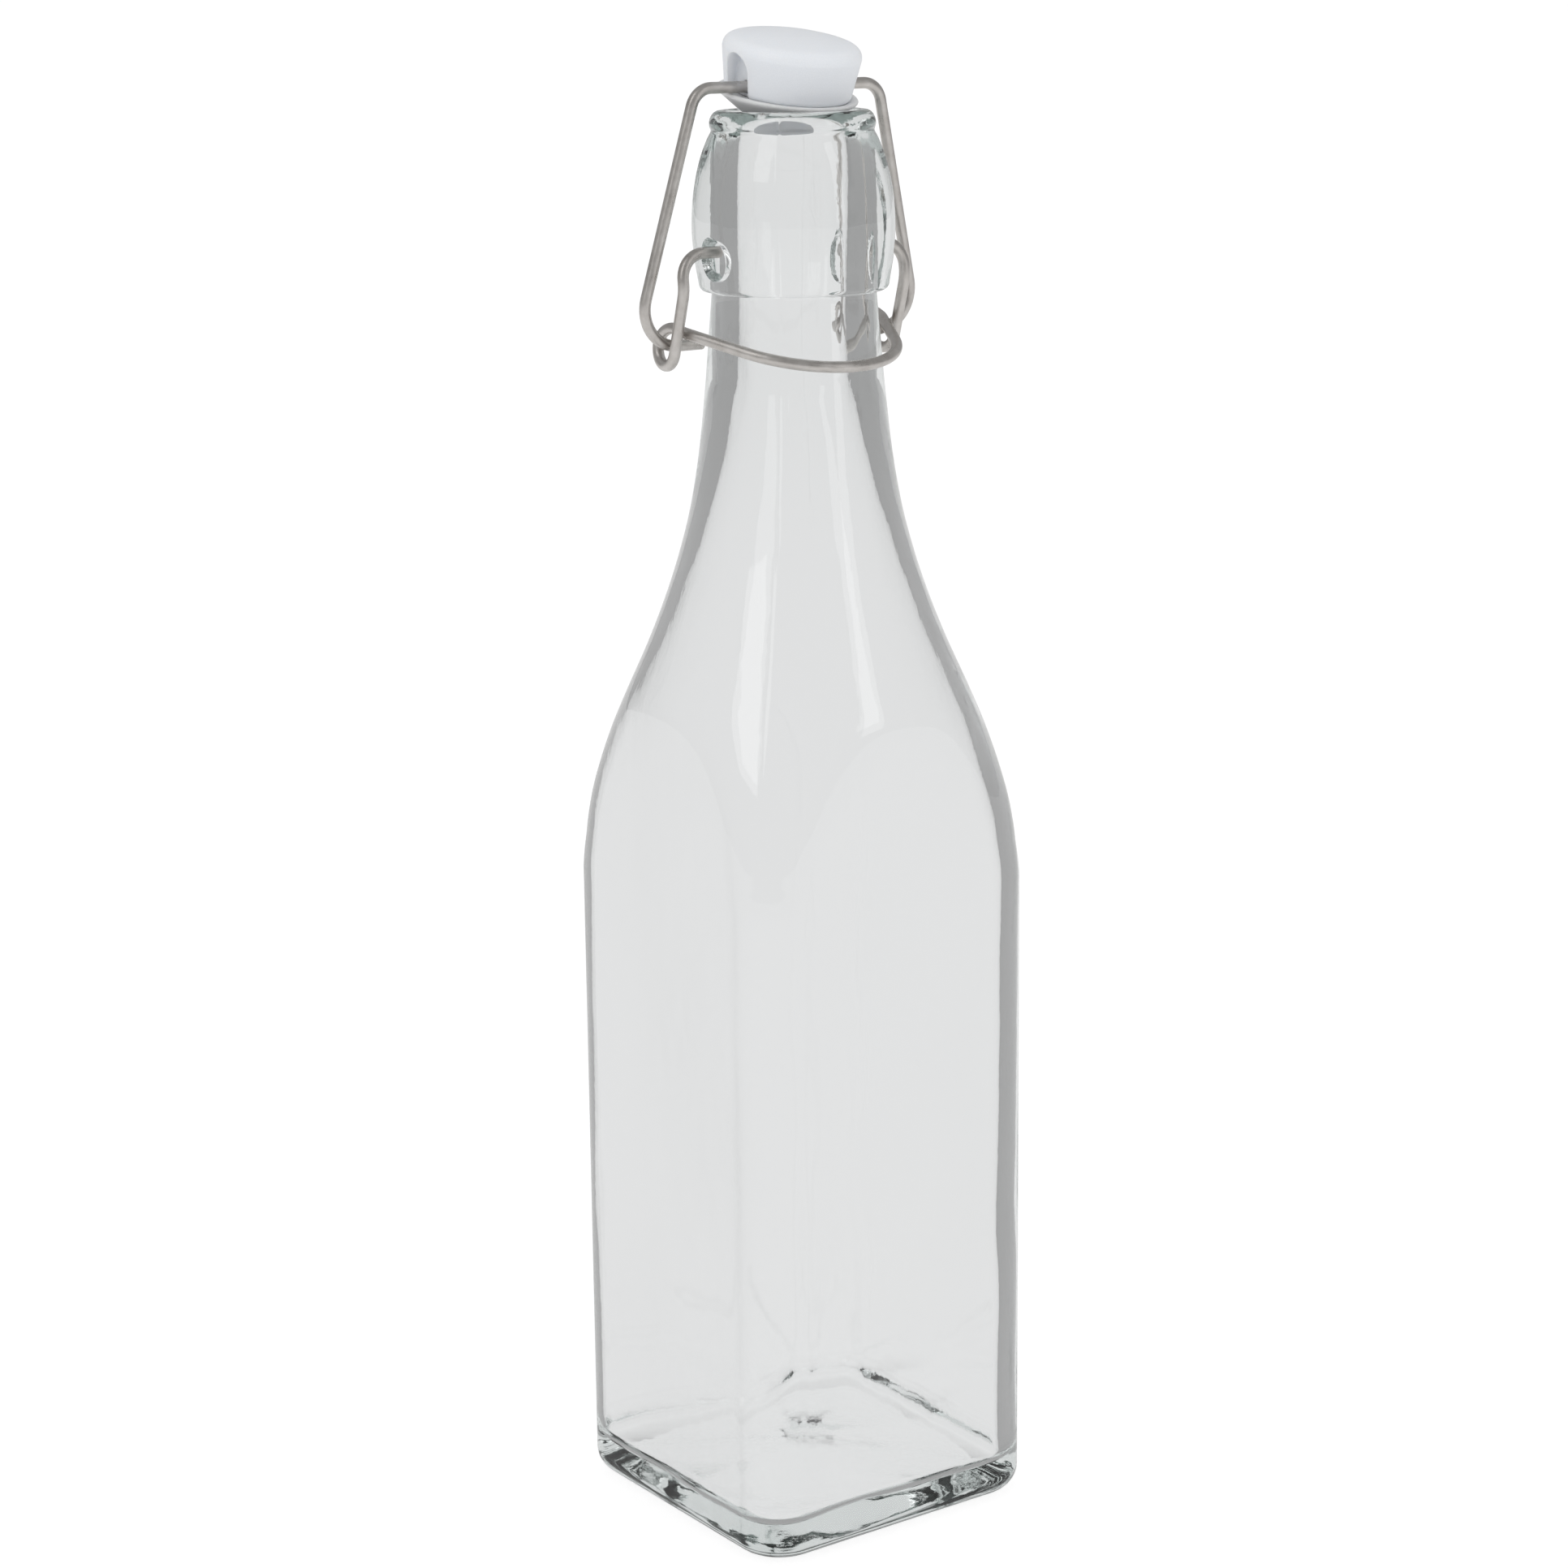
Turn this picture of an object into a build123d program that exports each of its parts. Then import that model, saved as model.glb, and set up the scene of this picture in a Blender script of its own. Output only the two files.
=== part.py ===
from build123d import *
from math import acos, asin, cos, hypot, radians, sin, sqrt, tan
import os

# Swing top bottle, in millimetres.
# The origin is the middle of the base, where the bottle stands, and +Z is up.
# The closure turns about X, and its handle ring hangs on the -Y side.

# Glass: body
BODY_SIDE = 62.0
BODY_CORNER_RADIUS = 9.6
BODY_TOP = 118.0
HEEL_RADIUS = 4.5
BASE_THICKNESS = 6.5
WALL = 2.6
INNER_HEEL_RADIUS = 4.0
PUSH_UP_RADIUS = 21.0
PUSH_UP_DEPTH = 1.2

# Glass: shoulder. Each row is a height, how far the outside reaches there,
# the wall there, and the angle that the crowned side takes each side of its
# middle. The reach is measured on REACH_ANGLE from the X axis.
REACH_ANGLE = 35.7
SHOULDER = [
    (124.0, 38.75, 2.60, 1.0),
    (131.0, 37.70, 2.60, 3.0),
    (138.0, 35.80, 2.60, 6.5),
    (145.0, 33.35, 2.60, 11.0),
    (152.0, 30.35, 2.60, 16.0),
    (159.5, 26.95, 2.65, 20.0),
    (167.5, 23.75, 2.75, 22.5),
    (176.0, 20.90, 3.00, 22.5),
    (185.0, 18.60, 3.60, 22.5),
    (195.0, 16.95, 4.70, 22.5),
    (206.0, 15.75, 6.15, 22.5),
]
SIDE_BLEND = 1.2
ROUND_ANGLE = 22.5

# Glass: neck, collar and lip
BORE_RADIUS = 9.6
NECK_BOTTOM = 206.0
NECK_BOTTOM_RADIUS = 15.75
COLLAR_BOTTOM = 222.2
NECK_TOP_RADIUS = 14.4
BEAD_BOTTOM = 249.6
LIP_TOP = 253.2
LIP_CREST_RADIUS = 12.4
MOUTH_FLARE = 248.8
COLLAR_SIDE = [(16.75, 224.0), (17.45, 228.6), (17.75, 233.3), (17.0, 241.3), (14.2, 249.6)]
SOCKET_RADIUS = 3.5
SOCKET_HEIGHT = 228.1
SOCKET_FLOOR = 14.9

# Closure: pivots in the YZ plane, wires and tilt
WIRE = 2.0
LEVER_PIVOT = (0.0, 229.6)
BAIL_PIVOT = (4.6, 213.6)
STOPPER_PIVOT = (1.1, 257.25)
STOPPER_TILT = 12.0
CROSSBAR_CLEARANCE = 0.06

# Stopper, measured along its own axis from the middle of the crossbar
HEAD_BOTTOM = -1.6
HEAD_TOP = 9.15
HEAD_RADIUS = 12.15
SHANK_RADIUS = 4.2
KNOB_RADIUS = 5.3
KNOB_TOP = -5.85
KNOB_BOTTOM = -11.8
NOTCH_WIDTH = 6.0
NOTCH_TOP = 5.9
NOTCH_FLOOR = 9.0

# Gasket, on the stopper's axis
GASKET_BORE = 4.22
GASKET_RADIUS = 12.4
GASKET_BOTTOM = -5.8


def shoulder_corner(reach, side_angle):
    """The half width and the corner radius of one section of the shoulder."""
    if side_angle == ROUND_ANGLE:
        return reach, reach
    half = BODY_SIDE / 2
    half = (reach + half - sqrt((reach - half) ** 2 + SIDE_BLEND ** 2)) / 2
    s = sin(radians(side_angle))
    share = s / (1 - cos(radians(side_angle)) + s)
    both = cos(radians(REACH_ANGLE)) + sin(radians(REACH_ANGLE))
    corner = (both * share * half - reach) / (both * share - 1)
    return half, corner


def draw_section(half, corner, side_angle):
    """Four sides, flat or crowned, and four corner arcs, in the current line."""
    s = sin(radians(side_angle))
    c = cos(radians(side_angle))
    share = s / (1 - c + s) if side_angle else 1
    centre = (half - corner) * share
    near = centre + corner * s
    far = centre + corner * c
    mid = centre + corner * sqrt(0.5)
    for turn in range(4):
        ends = [(far, -near), (half, 0), (far, near), (mid, mid), (near, far)]
        turned = [Vector(x, y).rotate(Axis.Z, 90 * turn) for x, y in ends]
        if side_angle:
            ThreePointArc(turned[0], turned[1], turned[2])
        else:
            Line(turned[0], turned[2])
        ThreePointArc(turned[2], turned[3], turned[4])


def shoulder_sections(inset):
    """The stack of sections from the square body to the neck, set in by a wall."""
    with BuildSketch(Plane.XY.offset(BODY_TOP)) as first:
        with BuildLine():
            draw_section(BODY_SIDE / 2 - inset * WALL, BODY_CORNER_RADIUS - inset * WALL, 0)
        make_face()
    sections = [first.sketch]
    for height, reach, wall, side_angle in SHOULDER:
        half, corner = shoulder_corner(reach, side_angle)
        with BuildSketch(Plane.XY.offset(height)) as section:
            with BuildLine():
                draw_section(half - inset * wall, corner - inset * wall, side_angle)
            make_face()
        sections.append(section.sketch)
    return sections


# ---------------------------------------------------------------- glass bottle
# The hollow inside, which is taken out of the glass.
inner_side = BODY_SIDE - 2 * WALL
with BuildPart() as hollow:
    with BuildSketch(Plane.XY.offset(BASE_THICKNESS)):
        RectangleRounded(inner_side, inner_side, BODY_CORNER_RADIUS - WALL)
    extrude(amount=BODY_TOP - BASE_THICKNESS)
    fillet(hollow.edges().group_by(Axis.Z)[0], INNER_HEEL_RADIUS)
    loft(sections=shoulder_sections(1))
    # Bore, with the rounded inner edge of the lip.
    with BuildSketch(Plane.XZ):
        with BuildLine():
            Line((0, NECK_BOTTOM), (BORE_RADIUS, NECK_BOTTOM))
            Line((BORE_RADIUS, NECK_BOTTOM), (BORE_RADIUS, MOUTH_FLARE))
            flare = [(BORE_RADIUS, MOUTH_FLARE), (10.5, 251.6), (LIP_CREST_RADIUS, LIP_TOP)]
            Spline(*flare, tangents=((0, 1), (1, 0)))
            Line((LIP_CREST_RADIUS, LIP_TOP), (LIP_CREST_RADIUS, LIP_TOP + 1))
            Line((LIP_CREST_RADIUS, LIP_TOP + 1), (0, LIP_TOP + 1))
            Line((0, LIP_TOP + 1), (0, NECK_BOTTOM))
        make_face()
    revolve(axis=Axis.Z)

with BuildPart() as glass_bottle:
    # Straight square body with a rounded heel.
    with BuildSketch(Plane.XY):
        RectangleRounded(BODY_SIDE, BODY_SIDE, BODY_CORNER_RADIUS)
    extrude(amount=BODY_TOP)
    heel = glass_bottle.edges().group_by(Axis.Z)[0]
    fillet(heel, HEEL_RADIUS)

    # Shoulder, from the square body to the round neck.
    loft(sections=shoulder_sections(0))

    # Neck, collar and lip, turned about the bottle's axis.
    with BuildSketch(Plane.XZ):
        with BuildLine():
            Line((0, NECK_BOTTOM), (NECK_BOTTOM_RADIUS, NECK_BOTTOM))
            Line((NECK_BOTTOM_RADIUS, NECK_BOTTOM), (NECK_TOP_RADIUS, COLLAR_BOTTOM))
            Line((NECK_TOP_RADIUS, COLLAR_BOTTOM), (15.4, COLLAR_BOTTOM))
            ThreePointArc((15.4, COLLAR_BOTTOM), (16.3, 222.7), (16.75, 224.0))
            Spline(*COLLAR_SIDE)
            ThreePointArc((14.2, BEAD_BOTTOM), (14.45, 250.8), (14.15, 252.1))
            ThreePointArc((14.15, 252.1), (13.55, 252.9), (LIP_CREST_RADIUS, LIP_TOP))
            Line((LIP_CREST_RADIUS, LIP_TOP), (0, LIP_TOP))
            Line((0, LIP_TOP), (0, NECK_BOTTOM))
        make_face()
    revolve(axis=Axis.Z)

    add(hollow.part, mode=Mode.SUBTRACT)

    # Sockets that the lever's ends turn in.
    for side in (1, -1):
        socket_plane = Plane(
            origin=(side * SOCKET_FLOOR, 0, SOCKET_HEIGHT),
            x_dir=(0, 1, 0),
            z_dir=(side, 0, 0),
        )
        with BuildSketch(socket_plane):
            Circle(SOCKET_RADIUS)
        extrude(amount=5, mode=Mode.SUBTRACT)

    # Shallow push-up under the base, which leaves a flat ring to stand on.
    with BuildSketch(Plane.XZ):
        with BuildLine():
            Line((0, PUSH_UP_DEPTH), (0, -1))
            Line((0, -1), (PUSH_UP_RADIUS, -1))
            Line((PUSH_UP_RADIUS, -1), (PUSH_UP_RADIUS, 0))
            Spline((PUSH_UP_RADIUS, 0), (0, PUSH_UP_DEPTH), tangents=((-1, 0.11), (-1, 0)))
        make_face()
    revolve(axis=Axis.Z, mode=Mode.SUBTRACT)
glass_bottle.part.label = "glass_bottle"


# --------------------------------------------------------- stopper and gasket
# The stopper's own axis leans towards -Y from the middle of the crossbar.
stopper_axis = Vector(0, -sin(radians(STOPPER_TILT)), cos(radians(STOPPER_TILT)))
stopper_origin = Vector(0, STOPPER_PIVOT[0], STOPPER_PIVOT[1])
stopper_base = Plane(origin=stopper_origin, x_dir=(1, 0, 0), z_dir=stopper_axis)
stopper_profile = Plane(
    origin=stopper_origin,
    x_dir=(1, 0, 0),
    z_dir=stopper_base.y_dir * -1,
)
stopper_line = Axis(stopper_origin, stopper_axis)

with BuildPart() as stopper:
    with BuildSketch(stopper_profile):
        with BuildLine():
            Line((0, KNOB_BOTTOM), (0, HEAD_TOP))
            Spline((0, HEAD_TOP), (10.3, 8.0), tangents=((1, 0), (1, -0.22)))
            ThreePointArc((10.3, 8.0), (11.7, 7.2), (HEAD_RADIUS, 5.8))
            Line((HEAD_RADIUS, 5.8), (11.1, -0.7))
            ThreePointArc((11.1, -0.7), (10.8, -1.35), (10.2, HEAD_BOTTOM))
            Line((10.2, HEAD_BOTTOM), (SHANK_RADIUS, HEAD_BOTTOM))
            Line((SHANK_RADIUS, HEAD_BOTTOM), (SHANK_RADIUS, KNOB_TOP))
            Line((SHANK_RADIUS, KNOB_TOP), (KNOB_RADIUS, KNOB_TOP - 0.4))
            Line((KNOB_RADIUS, KNOB_TOP - 0.4), (KNOB_RADIUS, -8.2))
            Spline((KNOB_RADIUS, -8.2), (0, KNOB_BOTTOM), tangents=((0, -1), (-1, 0)))
        make_face()
    revolve(axis=stopper_line)

    # Bore that the crossbar runs through.
    across = Plane(origin=stopper_origin, x_dir=stopper_base.y_dir, z_dir=(1, 0, 0))
    with BuildSketch(across):
        Circle(WIRE / 2 + CROSSBAR_CLEARANCE)
    extrude(amount=HEAD_RADIUS + 2, both=True, mode=Mode.SUBTRACT)

    # Arched notch at each end of the bore, open below, for the bent wire.
    for side in (1, -1):
        notch_plane = Plane(
            origin=stopper_origin + Vector(side * NOTCH_FLOOR, 0, 0),
            x_dir=stopper_base.y_dir * side,
            z_dir=(side, 0, 0),
        )
        arch = NOTCH_WIDTH / 2
        with BuildSketch(notch_plane):
            with BuildLine():
                Line((-arch, HEAD_BOTTOM - 1), (arch, HEAD_BOTTOM - 1))
                Line((arch, HEAD_BOTTOM - 1), (arch, NOTCH_TOP - arch))
                ThreePointArc(
                    (arch, NOTCH_TOP - arch), (0, NOTCH_TOP), (-arch, NOTCH_TOP - arch)
                )
                Line((-arch, NOTCH_TOP - arch), (-arch, HEAD_BOTTOM - 1))
            make_face()
        extrude(amount=6, mode=Mode.SUBTRACT)
stopper.part.label = "stopper"

with BuildPart() as sealing_gasket:
    with BuildSketch(stopper_profile):
        with BuildLine():
            # A soft flange under the head, then the cone that enters the mouth.
            Line((GASKET_BORE, HEAD_BOTTOM), (10.6, HEAD_BOTTOM))
            Line((10.6, HEAD_BOTTOM), (11.4, -1.15))
            Line((11.4, -1.15), (12.05, -1.15))
            ThreePointArc((12.05, -1.15), (GASKET_RADIUS, -1.45), (12.2, -1.8))
            Line((12.2, -1.8), (11.5, -2.3))
            Line((11.5, -2.3), (9.6, -3.7))
            Line((9.6, -3.7), (7.4, -5.3))
            Line((7.4, -5.3), (GASKET_BORE, GASKET_BOTTOM))
            Line((GASKET_BORE, GASKET_BOTTOM), (GASKET_BORE, HEAD_BOTTOM))
        make_face()
    revolve(axis=stopper_line)
sealing_gasket.part.label = "sealing_gasket"


# ------------------------------------------------------------------ bail wire
# A flat loop in the plane through the crossbar and the coils' middles.
ARM_TOP_X = 19.4
ARM_SPREAD = 0.255
BAIL_TAIL_X = 16.4
BAIL_TOP_BEND = 4.0
BAIL_HOOK_BEND = 6.8
bail_length = hypot(STOPPER_PIVOT[0] - BAIL_PIVOT[0], STOPPER_PIVOT[1] - BAIL_PIVOT[1])
hook_corner_x = ARM_TOP_X + ARM_SPREAD * bail_length


def on_bail(x, down):
    """A point of the bail's plane, at a distance down from the crossbar."""
    share = down / bail_length
    y = STOPPER_PIVOT[0] + share * (BAIL_PIVOT[0] - STOPPER_PIVOT[0])
    z = STOPPER_PIVOT[1] + share * (BAIL_PIVOT[1] - STOPPER_PIVOT[1])
    return (x, y, z)


with BuildPart() as bail_wire:
    with BuildLine() as bail_path:
        FilletPolyline(
            on_bail(-BAIL_TAIL_X, bail_length),
            on_bail(-hook_corner_x, bail_length),
            on_bail(-ARM_TOP_X, 0),
            on_bail(ARM_TOP_X, 0),
            on_bail(hook_corner_x, bail_length),
            on_bail(BAIL_TAIL_X, bail_length),
            radius=[BAIL_HOOK_BEND, BAIL_TOP_BEND, BAIL_TOP_BEND, BAIL_HOOK_BEND],
        )
    with BuildSketch(Plane(origin=bail_path.wires()[0] @ 0, z_dir=bail_path.wires()[0] % 0)):
        Circle(WIRE / 2)
    sweep(path=bail_path.wires()[0])
bail_wire.part.label = "bail_wire"


# ----------------------------------------------------------------- lever wire
LEVER_X = 23.8
STUB_END = 15.6
COIL_BEND = 3.2
RING_RADIUS = 18.0
RING_CENTRE_Y = -0.2
ring_drop = radians(15.4)
coil_back = (22.5, 8.6, 217.5)


def on_ring(x, forward):
    """A point of the handle ring's plane, forward of the coil's back corner."""
    y = coil_back[1] - forward * cos(ring_drop)
    z = coil_back[2] - forward * sin(ring_drop)
    return (x, y, z)


arm_start = (21.5, 5.8)
ring_centre_forward = (coil_back[1] - RING_CENTRE_Y) / cos(ring_drop)
# The arm runs from its start to touch the front arc, and the corner is where
# that line meets the ring's front tangent.
to_centre = hypot(arm_start[0], ring_centre_forward - arm_start[1])
arm_angle = acos(RING_RADIUS / to_centre) - asin((ring_centre_forward - arm_start[1]) / to_centre)
ring_front = ring_centre_forward + RING_RADIUS
ring_corner_x = arm_start[0] - (ring_front - arm_start[1]) * tan(arm_angle)

right_side = [
    (STUB_END, 0, LEVER_PIVOT[1]),
    (LEVER_X, 0, LEVER_PIVOT[1]),
    (LEVER_X, -0.9, 223.5),
    (LEVER_X, 3.0, 210.2),
    (LEVER_X - 0.5, 8.6, 210.2),
    coil_back,
    on_ring(*arm_start),
    on_ring(ring_corner_x, ring_front),
]
right_radii = [4.5, 7.0, COIL_BEND - 0.05, COIL_BEND - 0.05, COIL_BEND, 5.0, RING_RADIUS - 0.1]
left_side = [(-x, y, z) for x, y, z in reversed(right_side)]

with BuildPart() as lever_wire:
    with BuildLine() as lever_path:
        FilletPolyline(
            *right_side,
            *left_side,
            radius=right_radii + right_radii[::-1],
        )
    with BuildSketch(Plane(origin=lever_path.wires()[0] @ 0, z_dir=lever_path.wires()[0] % 0)):
        Circle(WIRE / 2)
    sweep(path=lever_path.wires()[0])
lever_wire.part.label = "lever_wire"


os.makedirs("parts", exist_ok=True)
export_step(glass_bottle.part, "parts/glass_bottle.step")
export_step(stopper.part, "parts/stopper.step")
export_step(sealing_gasket.part, "parts/sealing_gasket.step")
export_step(bail_wire.part, "parts/bail_wire.step")
export_step(lever_wire.part, "parts/lever_wire.step")
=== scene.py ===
import math

import bmesh
import bpy
import numpy as np
from mathutils import Matrix, Vector


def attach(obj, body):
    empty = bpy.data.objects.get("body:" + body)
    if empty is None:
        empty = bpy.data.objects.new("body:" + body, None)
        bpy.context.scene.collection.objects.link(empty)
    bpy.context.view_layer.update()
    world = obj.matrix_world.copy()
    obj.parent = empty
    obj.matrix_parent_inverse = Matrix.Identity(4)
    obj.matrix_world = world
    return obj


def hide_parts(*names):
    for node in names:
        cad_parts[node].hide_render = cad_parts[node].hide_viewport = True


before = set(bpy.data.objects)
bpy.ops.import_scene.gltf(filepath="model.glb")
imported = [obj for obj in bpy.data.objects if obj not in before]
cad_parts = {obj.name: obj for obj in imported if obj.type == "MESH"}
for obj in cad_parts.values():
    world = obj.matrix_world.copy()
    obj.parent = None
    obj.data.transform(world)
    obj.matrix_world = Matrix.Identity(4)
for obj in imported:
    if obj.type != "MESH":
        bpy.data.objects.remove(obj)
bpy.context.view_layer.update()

# The object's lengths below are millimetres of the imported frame; MM turns them into metres.
MM = 0.001

# ------------------------------------------------------------------ small helpers


def smooth(low, high, value):
    """0 below low, 1 above high, with a smooth step between."""
    t = np.clip((value - low) / (high - low), 0.0, 1.0)
    return t * t * (3 - 2 * t)


def curve_through(xs, ys, x):
    """A smooth curve through the points that doesn't overshoot between them."""
    xs = np.asarray(xs, float)
    ys = np.asarray(ys, float)
    step = np.diff(xs)
    slope = np.diff(ys) / step
    tangent = np.zeros(len(xs))
    tangent[0], tangent[-1] = slope[0], slope[-1]
    for i in range(1, len(xs) - 1):
        if slope[i - 1] * slope[i] > 0:
            w1 = 2 * step[i] + step[i - 1]
            w2 = step[i] + 2 * step[i - 1]
            tangent[i] = (w1 + w2) / (w1 / slope[i - 1] + w2 / slope[i])
    i = int(np.clip(np.searchsorted(xs, x) - 1, 0, len(step) - 1))
    t = (x - xs[i]) / step[i]
    a = (1 + 2 * t) * (1 - t) ** 2 * ys[i] + t * (1 - t) ** 2 * step[i] * tangent[i]
    b = t * t * (3 - 2 * t) * ys[i + 1] - t * t * (1 - t) * step[i] * tangent[i + 1]
    return float(a + b)


def new_object(name, verts, faces):
    """An object in the scene from points in metres, shaded smooth."""
    mesh = bpy.data.meshes.new(name)
    mesh.from_pydata([tuple(v) for v in verts], [], faces)
    mesh.validate()
    mesh.update()
    mesh.polygons.foreach_set("use_smooth", [True] * len(mesh.polygons))
    piece = bpy.data.objects.new(name, mesh)
    bpy.context.scene.collection.objects.link(piece)
    return piece


def closed_surface(rings, first_pole, last_pole):
    """One skin over a stack of rings, closed by a fan at each end."""
    count = len(rings[0])
    verts = [first_pole] + [p for ring in rings for p in ring] + [last_pole]
    last = len(verts) - 1
    tail = last - count
    faces = []
    for j in range(count):
        k = (j + 1) % count
        faces.append((0, 1 + k, 1 + j))
        faces.append((last, tail + j, tail + k))
    for i in range(len(rings) - 1):
        a = 1 + i * count
        b = a + count
        for j in range(count):
            k = (j + 1) % count
            faces.append((a + j, a + k, b + k, b + j))
    return verts, faces


def apply_modifiers(piece):
    """Keeps the evaluated mesh, with no modifier left."""
    graph = bpy.context.evaluated_depsgraph_get()
    mesh = bpy.data.meshes.new_from_object(piece.evaluated_get(graph))
    piece.modifiers.clear()
    piece.data = mesh
    return piece


def cut(piece, cutter):
    """Takes the cutter out of the piece."""
    tool = piece.modifiers.new("cut", "BOOLEAN")
    tool.operation = "DIFFERENCE"
    tool.solver = "EXACT"
    tool.object = cutter
    bpy.context.view_layer.update()
    apply_modifiers(piece)
    bpy.data.objects.remove(cutter)
    return piece


def turned(name, profile, matrix, count):
    """A closed solid turned about the local Z axis; profile runs from axis to axis."""
    angles = [2 * math.pi * j / count for j in range(count)]
    rings = []
    for radius, height in profile[1:-1]:
        ring = [Vector((radius * math.cos(a), radius * math.sin(a), height)) for a in angles]
        rings.append([matrix @ p * MM for p in ring])
    ends = [matrix @ Vector((0, 0, profile[i][1])) * MM for i in (0, -1)]
    verts, faces = closed_surface(rings, ends[0], ends[1])
    return new_object(name, verts, faces)


LARGEST_TURN = 0.12


def rounded(points, radii, step):
    """Points along a polyline whose corners are rounded by arcs of the given radii.

    They are at most about a step apart, and an arc turns by at most LARGEST_TURN between two.
    """
    points = [Vector(p) for p in points]
    out = [points[0]]
    for before, corner, after, radius in zip(points, points[1:], points[2:], radii):
        a = (before - corner).normalized()
        b = (after - corner).normalized()
        half = a.angle(b) / 2
        if radius <= 0 or abs(half - math.pi / 2) < 1e-4:
            out.append(corner)
            continue
        reach = radius / math.tan(half)
        centre = corner + (a + b).normalized() * (radius / math.sin(half))
        start = corner + a * reach - centre
        end = corner + b * reach - centre
        sweep = start.angle(end)
        count = max(2, math.ceil(radius * sweep / step), math.ceil(sweep / LARGEST_TURN))
        for i in range(count + 1):
            t = i / count
            p = (start * math.sin((1 - t) * sweep) + end * math.sin(t * sweep)) / math.sin(sweep)
            out.append(centre + p)
    out.append(points[-1])
    filled = [out[0]]
    for p in out[1:]:
        gap = (p - filled[-1]).length
        start = filled[-1].copy()
        pieces = max(1, int(gap / step))
        filled += [start.lerp(p, (i + 1) / pieces) for i in range(pieces)]
    return filled


# ------------------------------------------------------------------ shape of the glass

BODY_HALF = 31.0
BODY_CORNER = 9.6
BODY_TOP = 118.0
WALL = 2.6
BASE = 6.5
HEEL = 4.5
INNER_HEEL = 3.0
PUSH_UP = 1.2
PUSH_UP_RADIUS = 21.0
FOOT_START = 21.5
FLOOR_DOME = 1.5
FLOOR_RIPPLE = 0.6
REACH_ANGLE = math.radians(35.7)
# Height, reach of the outside, wall, and half the angle of the crowned side.
SHOULDER = [
    (118.0, 39.04, 2.60, 0.0),
    (124.0, 38.75, 2.60, 1.0),
    (131.0, 37.70, 2.60, 3.0),
    (138.0, 35.80, 2.60, 6.5),
    (145.0, 33.35, 2.60, 11.0),
    (152.0, 30.35, 2.60, 16.0),
    (159.5, 26.95, 2.65, 20.0),
    (167.5, 23.75, 2.75, 22.5),
    (176.0, 20.90, 3.00, 22.5),
    (185.0, 18.60, 3.60, 22.5),
    (195.0, 16.95, 4.70, 22.5),
    (206.0, 15.75, 6.15, 22.5),
]
FIRST_SECTION = SHOULDER[1][0]
# A section whose crowned sides reach this far each side of their middle is a circle.
ROUND_SIDE = 22.5
SIDE_BLEND = 1.2
BORE = 9.6
NECK_BOTTOM = 206.0
NECK_BOTTOM_RADIUS = 15.75
NECK_TAPER = 1.35
COLLAR_BOTTOM = 222.2
# Radius and height of the sockets, and how far from the axis their floors are.
SOCKET = (3.5, 228.1, 14.9)

# The uneven inside is thick at this corner and thin at the one across from it.
THICK_CORNER = math.radians(-45.0)
# The mould seam: its direction, height and width, and the two heights that it ends at.
SEAM_ANGLE = math.radians(225.0)
SEAM_HEIGHT = 0.15
SEAM_WIDTH = 0.012
SEAM_ENDS = (222.3, 252.0)

# The directions in which every ring of the glass has a point.
ANGLE_STEP = 0.8
ANGLES = np.radians(np.arange(0.0, 360.0, ANGLE_STEP))


def corner_and_half(reach, side):
    """Half width and corner radius of a section of the shoulder."""
    if side >= ROUND_SIDE:
        return reach, reach
    half = (reach + BODY_HALF - math.sqrt((reach - BODY_HALF) ** 2 + SIDE_BLEND ** 2)) / 2
    s = math.sin(math.radians(side))
    share = s / (1 - math.cos(math.radians(side)) + s)
    both = math.cos(REACH_ANGLE) + math.sin(REACH_ANGLE)
    return half, (both * share * half - reach) / (both * share - 1)


def section(half, corner, side):
    """How far a section reaches in each of the ANGLES."""
    theta = np.abs((ANGLES + math.pi / 4) % (math.pi / 2) - math.pi / 4)
    s, c = math.sin(math.radians(side)), math.cos(math.radians(side))
    share = s / (1 - c + s) if side > 0 else 1.0
    centre = (half - corner) * share
    near = centre + corner * s
    far = centre + corner * c
    if side > 0:
        sagitta = half - far
        if sagitta > 1e-6:
            big = (near ** 2 + sagitta ** 2) / (2 * sagitta)
            shift = half - big
            flat = shift * np.cos(theta) + np.sqrt(big ** 2 - (shift * np.sin(theta)) ** 2)
        else:
            flat = half / np.cos(theta)
    else:
        flat = half / np.cos(theta)
    along = centre * (np.cos(theta) + np.sin(theta))
    across = centre * (np.cos(theta) - np.sin(theta))
    arc = along + np.sqrt(np.maximum(corner ** 2 - across ** 2, 0))
    return np.where(theta < math.atan2(near, far), flat, arc)


SHOULDER_COLUMNS = [[row[i] for row in SHOULDER] for i in range(4)]


def glass_section(height, inset):
    """Section of the outside (inset 0) or the inside (inset 1) at a height."""
    if height <= BODY_TOP:
        return section(BODY_HALF - inset * WALL, BODY_CORNER - inset * WALL, 0.0)
    reach, wall, side = (
        curve_through(SHOULDER_COLUMNS[0], SHOULDER_COLUMNS[i], height) for i in (1, 2, 3)
    )
    if side > ROUND_SIDE - 0.01:
        return np.full(len(ANGLES), reach - inset * wall)
    half, corner = corner_and_half(reach, side)
    if height < FIRST_SECTION:
        t = (height - BODY_TOP) / (FIRST_SECTION - BODY_TOP)
        straight = section(BODY_HALF - inset * wall, BODY_CORNER - inset * wall, 0.0)
        return straight * (1 - t) + section(half - inset * wall, corner - inset * wall, side) * t
    return section(half - inset * wall, corner - inset * wall, side)


def bell(angles, width):
    """1 where the angles are 0, falling to nothing each side."""
    return np.exp(-((np.angle(np.exp(1j * angles)) / width) ** 2))


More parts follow.
